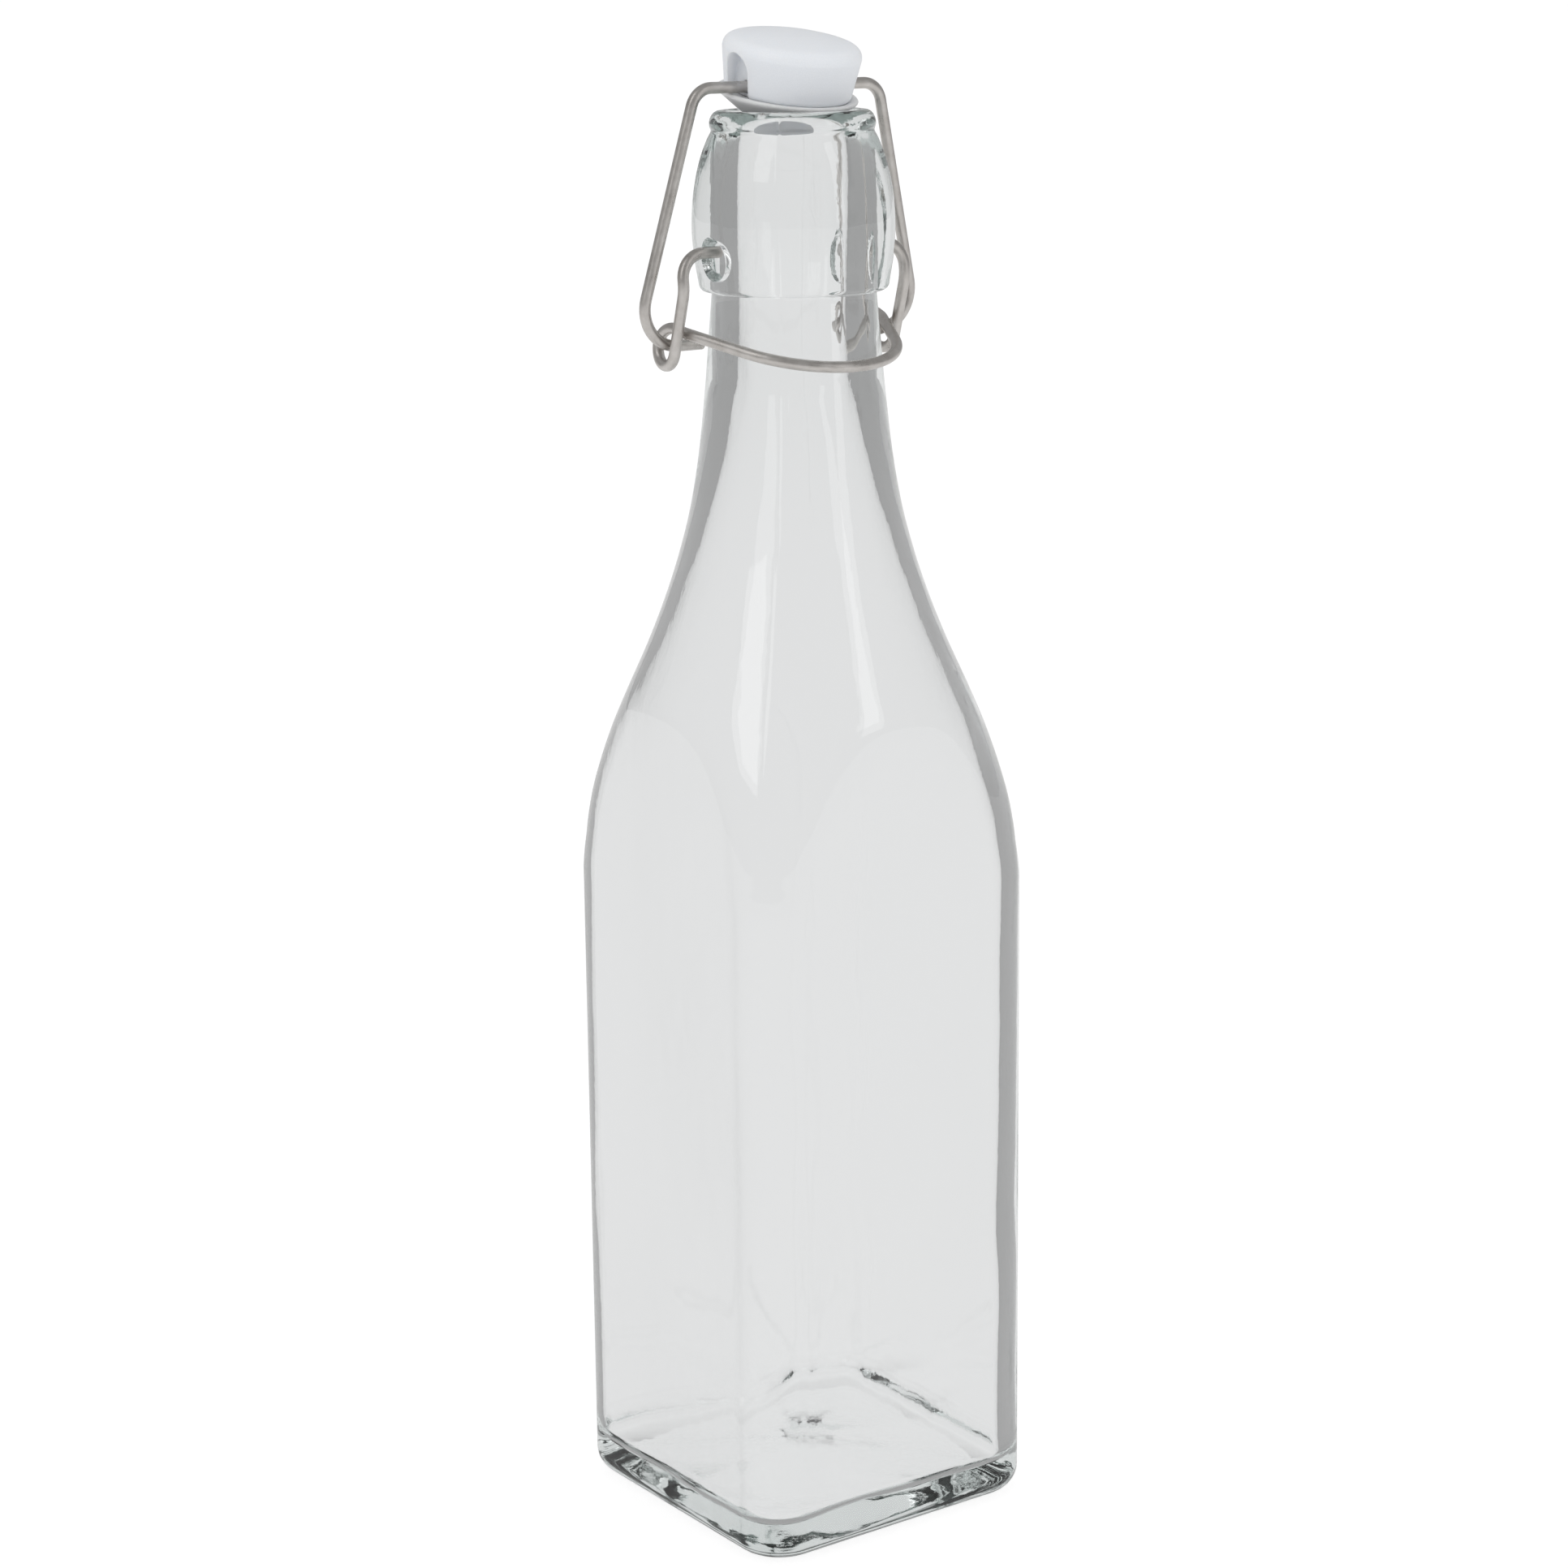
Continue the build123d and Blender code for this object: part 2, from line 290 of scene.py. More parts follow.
def waviness(height):
    """How much thicker than the plain wall the uneven wall is, round one ring."""
    corner = ANGLES - THICK_CORNER
    thick = 0.75 * bell(corner, 0.30)
    thin = -0.95 * bell(corner - math.pi, 0.30)
    calm = 1 - smooth(BODY_TOP, 165.0, height)
    z = height
    wave = 0.16 * math.sin(z / 11.0) * np.cos(2 * ANGLES + 0.6)
    wave = wave + 0.13 * np.sin(z / 17.0 + 3 * ANGLES)
    wave = wave + 0.10 * np.sin(z / 6.3 - 5 * ANGLES + 1.3)
    dents = 0.3 * math.exp(-(((z - 52.0) / 9.0) ** 2))
    dents = dents - 0.3 * math.exp(-(((z - 93.0) / 11.0) ** 2))
    wave = wave + dents * bell(corner, 0.22)
    neck = smooth(195.0, 210.0, height)
    streak = 0.05 * np.sin(9 * ANGLES + z / 9.0) + 0.035 * np.sin(17 * ANGLES - z / 14.0)
    return calm * (thick + thin + wave) + neck * streak


def seam(height):
    """The raised line on both sides that the halves of the mould leave, higher on the neck."""
    offset = np.angle(np.exp(1j * 2 * (ANGLES - SEAM_ANGLE))) / 2
    growth = 0.35 + 0.65 * smooth(120.0, 190.0, height)
    return SEAM_HEIGHT * np.exp(-((offset / SEAM_WIDTH) ** 2)) * growth


def ring_at(reach, height):
    """Points in metres that reach out in each of the ANGLES, at one height or one each."""
    if np.ndim(height) == 0:
        height = np.full(len(ANGLES), float(height))
    return [
        Vector((r * c, r * s, z)) * MM
        for r, c, s, z in zip(reach, np.cos(ANGLES), np.sin(ANGLES), height)
    ]


def heights(low, high, step):
    """Even heights from low to high, about a step apart."""
    count = max(1, int(round((high - low) / step)))
    return [low + (high - low) * i / count for i in range(count + 1)]


def arc_points(centre, radius, start, end, count):
    """Points of an arc in the plane of radius and height, angles in degrees."""
    out = []
    for i in range(count + 1):
        a = math.radians(start + (end - start) * i / count)
        out.append((centre[0] + radius * math.cos(a), centre[1] + radius * math.sin(a)))
    return out


rings = []
everywhere = np.ones(len(ANGLES))

# Underside: push-up, standing ring, heel.
for radius in (3.0, 7.0, 11.0, 15.0, 18.0, 20.0, FOOT_START):
    lift = PUSH_UP * (1 - smooth(0.0, PUSH_UP_RADIUS, radius))
    rings.append(ring_at(radius * everywhere, lift))
foot = section(BODY_HALF - HEEL, BODY_CORNER - HEEL, 0.0)
for share in (0.3, 0.65):
    rings.append(ring_at(FOOT_START + (foot - FOOT_START) * share, 0.0))
for i in range(10):
    a = math.radians(90 * i / 9)
    inset = HEEL * (1 - math.sin(a))
    reach = section(BODY_HALF - inset, BODY_CORNER - inset, 0.0)
    rings.append(ring_at(reach, HEEL * (1 - math.cos(a))))

# Outside of the body, the shoulder and the neck.
for z in heights(HEEL, BODY_TOP, 2.5)[1:]:
    rings.append(ring_at(glass_section(z, 0), z))
for z in heights(BODY_TOP, NECK_BOTTOM, 1.6)[1:]:
    reach = glass_section(z, 0)
    rings.append(ring_at(reach + seam(z) * smooth(122.0, 150.0, z), z))
for z in heights(NECK_BOTTOM, COLLAR_BOTTOM - 0.5, 1.2)[1:]:
    reach = NECK_BOTTOM_RADIUS - NECK_TAPER * (z - NECK_BOTTOM) / (COLLAR_BOTTOM - NECK_BOTTOM)
    rings.append(ring_at(reach + seam(z), z))

# Collar and lip: profile of radius and height, from the neck to the bore.
collar_z = [224.0, 228.6, 233.3, 237.5, 241.3, 245.5, 248.2]
collar_r = [16.75, 17.45, 17.75, 17.55, 17.0, 15.95, 14.9]
profile = [(14.45, 221.95), (14.62, 222.12), (14.85, 222.2), (15.35, 222.22)]
profile += arc_points((15.35, 223.52), 1.3, -80, -8, 8)
for z in heights(224.0, 248.2, 0.6)[1:]:
    profile.append((curve_through(collar_z, collar_r, z), z))
profile += [(14.62, 248.75), (14.36, 249.2), (14.2, 249.5), (14.17, 249.75), (14.25, 250.0)]
profile += [(14.38, 250.35), (14.45, 250.8), (14.42, 251.3), (14.28, 251.85), (14.02, 252.35)]
profile += [(13.62, 252.8), (13.1, 253.08), (12.5, 253.18), (11.9, 253.05), (11.3, 252.65)]
profile += [(10.8, 252.1), (10.42, 251.4), (10.1, 250.6), (9.85, 249.7), (9.68, 248.9)]
OUTSIDE_OF_LIP = 14.0
for radius, z in profile:
    on_seam = radius > OUTSIDE_OF_LIP and SEAM_ENDS[0] < z < SEAM_ENDS[1]
    ridge = seam(z) if on_seam else 0.0
    rings.append(ring_at(radius * everywhere + ridge, z))

# Inside: bore, shoulder, body, heel and floor.
for z in heights(NECK_BOTTOM, 248.0, 1.6)[::-1]:
    rings.append(ring_at(BORE * everywhere - 0.5 * waviness(z), z))
for z in heights(BODY_TOP, NECK_BOTTOM, 1.8)[-2::-1]:
    rings.append(ring_at(glass_section(z, 1) - waviness(z), z))
for z in heights(BASE + INNER_HEEL, BODY_TOP, 2.5)[-2::-1]:
    rings.append(ring_at(glass_section(z, 1) - waviness(z), z))
floor_wave = 0.45 * np.sin(3 * ANGLES + 0.7) + 0.35 * np.sin(5 * ANGLES - 1.1)
floor_wave = floor_wave + 0.25 * np.sin(9 * ANGLES)
back = np.angle(np.exp(1j * (ANGLES - math.radians(54.0))))
floor_wave = floor_wave + 1.6 * np.exp(-((back / 0.2) ** 2))
floor_wave = floor_wave - 0.5 * np.exp(-(((back - 0.5) / 0.22) ** 2))
for i in range(1, 9):
    a = math.radians(90 * i / 8)
    inset = WALL + INNER_HEEL * (1 - math.cos(a))
    reach = section(BODY_HALF - inset, BODY_CORNER - inset, 0.0)
    z = BASE + INNER_HEEL * (1 - math.sin(a))
    fade = 1 - math.sin(a)
    ripple = FLOOR_RIPPLE * floor_wave * math.sin(a)
    rings.append(ring_at(reach - waviness(z) * fade, z + ripple))
inner_foot = section(BODY_HALF - WALL - INNER_HEEL, BODY_CORNER - WALL - INNER_HEEL, 0.0)
for share in (0.94, 0.86, 0.74, 0.6, 0.45, 0.3, 0.15):
    reach = inner_foot * share
    lift = FLOOR_DOME * (1 - share ** 2) + FLOOR_RIPPLE * floor_wave * share ** 2
    rings.append(ring_at(reach, BASE + lift))

underside = Vector((0, 0, PUSH_UP)) * MM
inner_floor = Vector((0, 0, BASE + FLOOR_DOME)) * MM
glass = new_object("glass_body", *closed_surface(rings, underside, inner_floor))

# Sockets for the lever, with softened rims.
for side in (1, -1):
    radius, height, socket_floor = SOCKET
    shape = [(0, 0), (radius - 0.35, 0), (radius - 0.1, 0.1), (radius, 0.35), (radius, 1.6)]
    shape += [(radius + 0.06, 2.0), (radius + 0.2, 2.35), (radius + 0.5, 2.75)]
    shape += [(radius + 1.0, 3.2), (radius + 1.0, 6.0), (0, 6.0)]
    turn = Matrix.Rotation(side * math.pi / 2, 4, "Y")
    place = Matrix.Translation((side * socket_floor, 0, height)) @ turn
    cut(glass, turned("socket_cutter", shape, place, 72))

# ------------------------------------------------------------------ materials


def material(name):
    """A new material with its nodes, links and main shader."""
    made = bpy.data.materials.new(name)
    made.use_nodes = True
    nodes, links = made.node_tree.nodes, made.node_tree.links
    return made, nodes, links, nodes["Principled BSDF"]


def noise(nodes, scale, detail=4.0, rough=0.55):
    made = nodes.new("ShaderNodeTexNoise")
    made.inputs["Scale"].default_value = scale
    made.inputs["Detail"].default_value = detail
    made.inputs["Roughness"].default_value = rough
    return made


def ramp(nodes, stops):
    """A colour ramp through stops of a position and a colour."""
    made = nodes.new("ShaderNodeValToRGB")
    while len(made.color_ramp.elements) < len(stops):
        made.color_ramp.elements.new(0.5)
    for element, (at, value) in zip(made.color_ramp.elements, stops):
        element.position = at
        element.color = (*value, 1)
    return made


def bump(nodes, links, height, strength, distance):
    """A bump from a height output, with its distance in metres."""
    made = nodes.new("ShaderNodeBump")
    made.inputs["Strength"].default_value = strength
    made.inputs["Distance"].default_value = distance
    links.new(height, made.inputs["Height"])
    return made


def stretched(nodes, links, source, scale):
    """Texture coordinates from the object, stretched by a scale for each axis."""
    coords = nodes.new("ShaderNodeTexCoord")
    mapping = nodes.new("ShaderNodeMapping")
    mapping.inputs["Scale"].default_value = scale
    links.new(coords.outputs[source], mapping.inputs["Vector"])
    return mapping.outputs["Vector"]


def glass_material():
    made, nodes, links, shader = material("clear_glass")
    shader.inputs["Base Color"].default_value = (0.985, 0.988, 0.99, 1)
    shader.inputs["Transmission Weight"].default_value = 1.0
    shader.inputs["Roughness"].default_value = 0.0
    shader.inputs["IOR"].default_value = 1.51
    wave = noise(nodes, 1.0, 2.0)
    links.new(stretched(nodes, links, "Object", (70, 70, 28)), wave.inputs["Vector"])
    grain = noise(nodes, 1.0, 3.0)
    links.new(stretched(nodes, links, "Object", (600, 600, 220)), grain.inputs["Vector"])
    soft = bump(nodes, links, wave.outputs["Fac"], 0.25, 0.0008)
    fine = bump(nodes, links, grain.outputs["Fac"], 0.10, 0.00012)
    links.new(soft.outputs["Normal"], fine.inputs["Normal"])
    links.new(fine.outputs["Normal"], shader.inputs["Normal"])
    depth = nodes.new("ShaderNodeVolumeAbsorption")
    depth.inputs["Color"].default_value = (0.87, 0.89, 0.885, 1)
    depth.inputs["Density"].default_value = 30.0
    links.new(depth.outputs["Volume"], nodes["Material Output"].inputs["Volume"])
    return made


def steel_material():
    made, nodes, links, shader = material("stainless_wire")
    shader.inputs["Metallic"].default_value = 1.0
    tone = noise(nodes, 1.0, 5.0)
    links.new(stretched(nodes, links, "UV", (3, 2, 1)), tone.inputs["Vector"])
    colours = ramp(nodes, [(0.3, (0.47, 0.445, 0.42)), (0.7, (0.66, 0.635, 0.61))])
    links.new(tone.outputs["Fac"], colours.inputs["Fac"])
    links.new(colours.outputs["Color"], shader.inputs["Base Color"])
    gloss = ramp(nodes, [(0.3, (0.24,) * 3), (0.75, (0.42,) * 3)])
    links.new(tone.outputs["Fac"], gloss.inputs["Fac"])
    links.new(gloss.outputs["Color"], shader.inputs["Roughness"])
    lines = noise(nodes, 1.0, 6.0, 0.7)
    links.new(stretched(nodes, links, "UV", (12, 90, 1)), lines.inputs["Vector"])
    drawn = bump(nodes, links, lines.outputs["Fac"], 0.35, 0.00004)
    pits = noise(nodes, 2600.0, 3.0)
    pitted = bump(nodes, links, pits.outputs["Fac"], 0.2, 0.00003)
    links.new(drawn.outputs["Normal"], pitted.inputs["Normal"])
    links.new(pitted.outputs["Normal"], shader.inputs["Normal"])
    return made


def stopper_material():
    made, nodes, links, shader = material("white_plastic")
    shader.inputs["Subsurface Weight"].default_value = 0.55
    shader.inputs["Subsurface Radius"].default_value = (1.0, 0.95, 0.9)
    shader.inputs["Subsurface Scale"].default_value = 0.0035
    shader.inputs["IOR"].default_value = 1.5
    cloud = noise(nodes, 180.0, 3.0)
    colours = ramp(nodes, [(0.3, (0.74, 0.765, 0.80)), (0.7, (0.80, 0.82, 0.85))])
    links.new(cloud.outputs["Fac"], colours.inputs["Fac"])
    links.new(colours.outputs["Color"], shader.inputs["Base Color"])
    gloss = ramp(nodes, [(0.3, (0.34,) * 3), (0.7, (0.5,) * 3)])
    links.new(cloud.outputs["Fac"], gloss.inputs["Fac"])
    links.new(gloss.outputs["Color"], shader.inputs["Roughness"])
    flow = noise(nodes, 1.0, 3.0)
    links.new(stretched(nodes, links, "Object", (90, 90, 420)), flow.inputs["Vector"])
    soft = bump(nodes, links, flow.outputs["Fac"], 0.16, 0.0002)
    grain = noise(nodes, 2400.0, 2.0)
    fine = bump(nodes, links, grain.outputs["Fac"], 0.12, 0.00003)
    links.new(soft.outputs["Normal"], fine.inputs["Normal"])
    links.new(fine.outputs["Normal"], shader.inputs["Normal"])
    return made


def gasket_material():
    made, nodes, links, shader = material("silicone")
    shader.inputs["Transmission Weight"].default_value = 0.2
    shader.inputs["Subsurface Weight"].default_value = 0.5
    shader.inputs["Subsurface Radius"].default_value = (1.0, 1.0, 1.0)
    shader.inputs["Subsurface Scale"].default_value = 0.002
    shader.inputs["IOR"].default_value = 1.41
    cloud = noise(nodes, 260.0, 3.0)
    colours = ramp(nodes, [(0.3, (0.80, 0.81, 0.815)), (0.7, (0.88, 0.885, 0.89))])
    links.new(cloud.outputs["Fac"], colours.inputs["Fac"])
    links.new(colours.outputs["Color"], shader.inputs["Base Color"])
    gloss = ramp(nodes, [(0.3, (0.38,) * 3), (0.7, (0.55,) * 3)])
    links.new(cloud.outputs["Fac"], gloss.inputs["Fac"])
    links.new(gloss.outputs["Color"], shader.inputs["Roughness"])
    grain = noise(nodes, 1800.0, 3.0)
    fine = bump(nodes, links, grain.outputs["Fac"], 0.2, 0.00004)
    links.new(fine.outputs["Normal"], shader.inputs["Normal"])
    return made


def dress(piece, made, body, nodes_stood_for):
    """Gives a piece its material in a slot and its body, and hides the CAD nodes it stands for."""
    piece.data.materials.clear()
    piece.data.materials.append(made)
    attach(piece, body)
    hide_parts(*nodes_stood_for)


glass.data.set_sharp_from_angle(angle=math.radians(38))
dress(glass, glass_material(), "bottle", ["glass_bottle"])

# ------------------------------------------------------------------ stopper and gasket

TILT = math.radians(12.0)
STOPPER_PIVOT = Vector((0, 1.1, 257.25))
stopper_place = Matrix.Translation(STOPPER_PIVOT) @ Matrix.Rotation(TILT, 4, "X")
HEAD_BOTTOM = -1.6
HEAD_TOP = 9.1
HEAD_CROWN = 1.15
CROWN_RADIUS = 10.3
SHANK = 4.2
BORE_HALF = 16
NOTCH_HALF = 3.0
NOTCH_SPRING = 2.9
NOTCH_BOTTOM = -3.2
NOTCH_FROM, NOTCH_TO = 9.0, 15.0
ROUND_COUNT = 160

# Profile of radius and height, from the top to the end of the knob.
head = [(0, HEAD_TOP)]
for radius in (2.0, 4.0, 6.0, 8.0, 9.3):
    head.append((radius, HEAD_TOP - HEAD_CROWN * (radius / CROWN_RADIUS) ** 2.4))
head += [(CROWN_RADIUS, 8.0), (10.9, 7.8), (11.4, 7.5), (11.8, 7.05), (12.05, 6.5)]
head += [(12.14, 5.8), (11.9, 4.25), (11.55, 2.1), (11.3, 0.5), (11.12, -0.6), (10.95, -1.15)]
head += [(10.6, -1.5), (10.2, HEAD_BOTTOM), (7.0, HEAD_BOTTOM), (4.6, HEAD_BOTTOM)]
head += [(SHANK, -1.75), (SHANK, -5.7)]
head += [(4.45, -5.95), (5.1, -6.2), (5.3, -6.5), (5.3, -8.2)]
head += [(5.18, -9.0), (4.8, -9.8), (4.1, -10.6), (3.0, -11.3), (1.6, -11.7), (0, -11.8)]
stopper = turned("stopper_head", head[::-1], stopper_place, ROUND_COUNT)

# The bore that the crossbar runs through, and an arched notch at each end of it.
sideways = stopper_place @ Matrix.Rotation(math.pi / 2, 4, "Y")
bore = [(0, -BORE_HALF), (1.06, -BORE_HALF), (1.06, BORE_HALF), (0, BORE_HALF)]
cut(stopper, turned("bore_cutter", bore, sideways, 48))
for side in (1, -1):
    outline = [(-NOTCH_HALF, NOTCH_BOTTOM), (NOTCH_HALF, NOTCH_BOTTOM), (NOTCH_HALF, NOTCH_SPRING)]
    for a in np.linspace(0, math.pi, 25)[1:]:
        outline.append((NOTCH_HALF * math.cos(a), NOTCH_SPRING + NOTCH_HALF * math.sin(a)))
    corners = []
    for x in (NOTCH_FROM * side, NOTCH_TO * side):
        corners.append([stopper_place @ Vector((x, y, z)) * MM for y, z in outline])
    count = len(outline)
    verts = corners[0] + corners[1]
    faces = [tuple(range(count)), tuple(range(2 * count - 1, count - 1, -1))]
    for i in range(count):
        j = (i + 1) % count
        faces.append((i, i + count, j + count, j))
    cutter = new_object("notch_cutter", verts, faces)
    shell = bmesh.new()
    shell.from_mesh(cutter.data)
    bmesh.ops.recalc_face_normals(shell, faces=shell.faces)
    shell.to_mesh(cutter.data)
    shell.free()
    cut(stopper, cutter)

# A fine remesh and a little smoothing round every edge, as moulding does.
remesh = stopper.modifiers.new("remesh", "REMESH")
remesh.mode = "VOXEL"
remesh.voxel_size = 0.16 * MM
relax = stopper.modifiers.new("relax", "SMOOTH")
relax.factor = 0.5
relax.iterations = 4
apply_modifiers(stopper)
stopper.data.polygons.foreach_set("use_smooth", [True] * len(stopper.data.polygons))
dress(stopper, stopper_material(), "closure", ["stopper"])

# The sealing ring: its section of radius and height, taken round the stopper's axis.
RING_BORE = SHANK + 0.03
ring_profile = [(RING_BORE, -1.66), (10.4, -1.66), (10.75, -1.5), (11.3, -1.23), (11.6, -1.17)]
ring_profile += [(12.05, -1.16), (12.26, -1.24), (12.37, -1.42), (12.33, -1.64), (12.16, -1.86)]
ring_profile += [(11.85, -2.1), (11.45, -2.38), (9.7, -3.66), (9.3, -3.95), (7.6, -5.14)]
ring_profile += [(7.2, -5.36), (5.2, -5.66), (RING_BORE, -5.76)]
count = ROUND_COUNT
verts = []
for radius, height in ring_profile:
    for j in range(count):
        a = 2 * math.pi * j / count
        p = Vector((radius * math.cos(a), radius * math.sin(a), height))
        verts.append(stopper_place @ p * MM)
faces = []
for i in range(len(ring_profile)):
    n = (i + 1) % len(ring_profile)
    for j in range(count):
        k = (j + 1) % count
        faces.append((i * count + j, n * count + j, n * count + k, i * count + k))
gasket = new_object("gasket_ring", verts, faces)
gasket.data.set_sharp_from_angle(angle=math.radians(50))
dress(gasket, gasket_material(), "closure", ["sealing_gasket"])

# ------------------------------------------------------------------ wires

WIRE_RADIUS = 1.0
WIRE_SIDES = 28
WIRE_STEP = 0.8
# Each cut end: how far in from the end, and the share of the radius there.
EASED_END = [(0.0, 0.80), (0.07, 0.93), (0.2, 1.0)]
EASED_LENGTH = 0.3
UV_LENGTH = 10.0
LEVER_PIVOT_Z = 229.6
BAIL_PIVOT = (4.6, 213.6)


def wire(name, points, radii):
    """A drawn wire along a rounded polyline, with eased cut ends."""
    path = rounded(points, radii, WIRE_STEP)
    count = WIRE_SIDES
    start = (path[1] - path[0]).normalized()
    side = start.orthogonal().normalized()
    rings, along, travelled = [], [], 0.0
    previous = start
    for i, p in enumerate(path):
        before = path[max(i - 1, 0)]
        after = path[min(i + 1, len(path) - 1)]
        direction = (after - before).normalized()
        side = previous.rotation_difference(direction) @ side
        previous = direction
        up = direction.cross(side)
        travelled += (p - before).length
        rings.append((p, side.copy(), up, direction))
        along.append(travelled)
    stations = [(rings[0], back, share) for back, share in EASED_END]
    for r, at in zip(rings, along):
        if EASED_LENGTH < at < along[-1] - EASED_LENGTH:
            stations.append((r, 0.0, 1.0))
    stations += [(rings[-1], -back, share) for back, share in reversed(EASED_END)]
    built = []
    middles = []
    for (p, s, u, d), back, share in stations:
        centre = p + d * back
        middles.append(centre)
        built.append([
            (centre + (s * math.cos(a) + u * math.sin(a)) * WIRE_RADIUS * share) * MM
            for a in (2 * math.pi * j / count for j in range(count))
        ])
    verts, faces = closed_surface(built, rings[0][0] * MM, rings[-1][0] * MM)
    piece = new_object(name, verts, faces)

    # Texture coordinates that run along the wire and round it, for its drawn finish.
    lengths = [0.0]
    for a, b in zip(middles, middles[1:]):
        lengths.append(lengths[-1] + (b - a).length)
    layer = piece.data.uv_layers.new(name="along")
    for polygon in piece.data.polygons:
        columns = [(v - 1) % count for v in polygon.vertices if 0 < v < len(verts) - 1]
        wraps = max(columns) - min(columns) > count / 2
        for loop in polygon.loop_indices:
            v = piece.data.loops[loop].vertex_index
            row = min(max((v - 1) // count, 0), len(lengths) - 1)
            column = (v - 1) % count
            if wraps and column < count / 2:
                column += count
            layer.data[loop].uv = (lengths[row] / UV_LENGTH, column / count)
    piece.data.set_sharp_from_angle(angle=math.radians(50))
    return piece


bail_length = math.hypot(STOPPER_PIVOT.y - BAIL_PIVOT[0], STOPPER_PIVOT.z - BAIL_PIVOT[1])


def on_bail(x, down):
    """A point of the bail's plane, at a distance down from the crossbar."""
    share = down / bail_length
    y = STOPPER_PIVOT.y + share * (BAIL_PIVOT[0] - STOPPER_PIVOT.y)
    return (x, y, STOPPER_PIVOT.z + share * (BAIL_PIVOT[1] - STOPPER_PIVOT.z))


ARM_TOP_X = 19.4
ARM_SPREAD = 0.255
BAIL_TAIL_X = 16.4
HOOK_BEND, TOP_BEND = 6.8, 4.0
hook_x = ARM_TOP_X + ARM_SPREAD * bail_length
bail_points = [(-BAIL_TAIL_X, bail_length), (-hook_x, bail_length), (-ARM_TOP_X, 0)]
bail_points += [(ARM_TOP_X, 0), (hook_x, bail_length), (BAIL_TAIL_X, bail_length)]
bail_bends = [HOOK_BEND, TOP_BEND, TOP_BEND, HOOK_BEND]
bail = wire("bail_loop", [on_bail(*p) for p in bail_points], bail_bends)

LEVER_X = 23.8
RING_RADIUS = 18.0
RING_CENTRE_Y = -0.2
ring_drop = math.radians(15.4)
coil_back = (22.5, 8.6, 217.5)


def on_ring(x, forward):
    """A point of the handle ring's plane, forward of the coil's back corner."""
    y = coil_back[1] - forward * math.cos(ring_drop)
    return (x, y, coil_back[2] - forward * math.sin(ring_drop))


# The arm runs from its start to touch the ring's front arc.
arm_start = (21.5, 5.8)
ring_centre = (coil_back[1] - RING_CENTRE_Y) / math.cos(ring_drop)
to_centre = math.hypot(arm_start[0], ring_centre - arm_start[1])
arm_angle = math.acos(RING_RADIUS / to_centre)
arm_angle = arm_angle - math.asin((ring_centre - arm_start[1]) / to_centre)
ring_front = ring_centre + RING_RADIUS
ring_corner_x = arm_start[0] - (ring_front - arm_start[1]) * math.tan(arm_angle)
right = [(15.6, 0, LEVER_PIVOT_Z), (LEVER_X, 0, LEVER_PIVOT_Z), (LEVER_X, -0.9, 223.5)]
right += [(LEVER_X, 3.0, 210.2), (LEVER_X - 0.5, 8.6, 210.2), coil_back]
right += [on_ring(*arm_start), on_ring(ring_corner_x, ring_front)]
left = [(-x, y, z) for x, y, z in reversed(right)]
bends = [4.5, 7.0, 3.15, 3.15, 3.2, 5.0, RING_RADIUS - 0.1]
lever = wire("lever_handle", right + left, bends + bends[::-1])

steel = steel_material()
dress(bail, steel, "bail", ["bail_wire"])
dress(lever, steel, "lever", ["lever_wire"])

# ------------------------------------------------------------------ floor, lights, camera
# Lengths are metres from here on, apart from the camera's place.

VIEW_AZIMUTH = -35.684
CAMERA_PITCH = 12.964
CAMERA_ROLL = -0.627
CAMERA_PLACE = (-365.63, -504.49, 277.08)
CAMERA_LENS = 81.43
FLOOR_HALF = 6
# The floor lies a hair below the foot, so light leaves the glass before it meets the floor.
FLOOR_HEIGHT = -0.00005
# The studio seen straight through the glass, and seen by total reflection inside its wall.
STUDIO_BRIGHT = 0.815
STUDIO_DARK = 0.34
LIGHT_BOUNCES = 40


def towards(azimuth):
    """The level direction that a camera at this azimuth looks in."""
    a = math.radians(azimuth)
    return Vector((-math.sin(a), math.cos(a), 0))


def only_for(nodes, links, ray, low, high):
    """A number that is low, but high for one kind of ray."""
    path = nodes.new("ShaderNodeLightPath")
    spread = nodes.new("ShaderNodeMapRange")
    spread.inputs["To Min"].default_value = low
    spread.inputs["To Max"].default_value = high
    links.new(path.outputs[ray], spread.inputs["Value"])
    return spread.outputs["Result"]


def through_glass(nodes, links, depth):
    """How bright the studio is through the glass: dark at one ray depth, bright at the others.

    A ray that enters, reflects inside the wall and leaves has met three surfaces, and one that
    goes straight through the bottle has met four. The floor's ray depth is that number, and the
    sky's is one more.
    """
    path = nodes.new("ShaderNodeLightPath")
    reflected = nodes.new("ShaderNodeMath")
    reflected.operation = "COMPARE"
    reflected.inputs[1].default_value = depth
    reflected.inputs[2].default_value = 0.5
    links.new(path.outputs["Ray Depth"], reflected.inputs[0])
    bright = nodes.new("ShaderNodeMapRange")
    bright.inputs["To Min"].default_value = STUDIO_BRIGHT
    bright.inputs["To Max"].default_value = STUDIO_DARK
    links.new(reflected.outputs["Value"], bright.inputs["Value"])
    return bright.outputs["Result"]


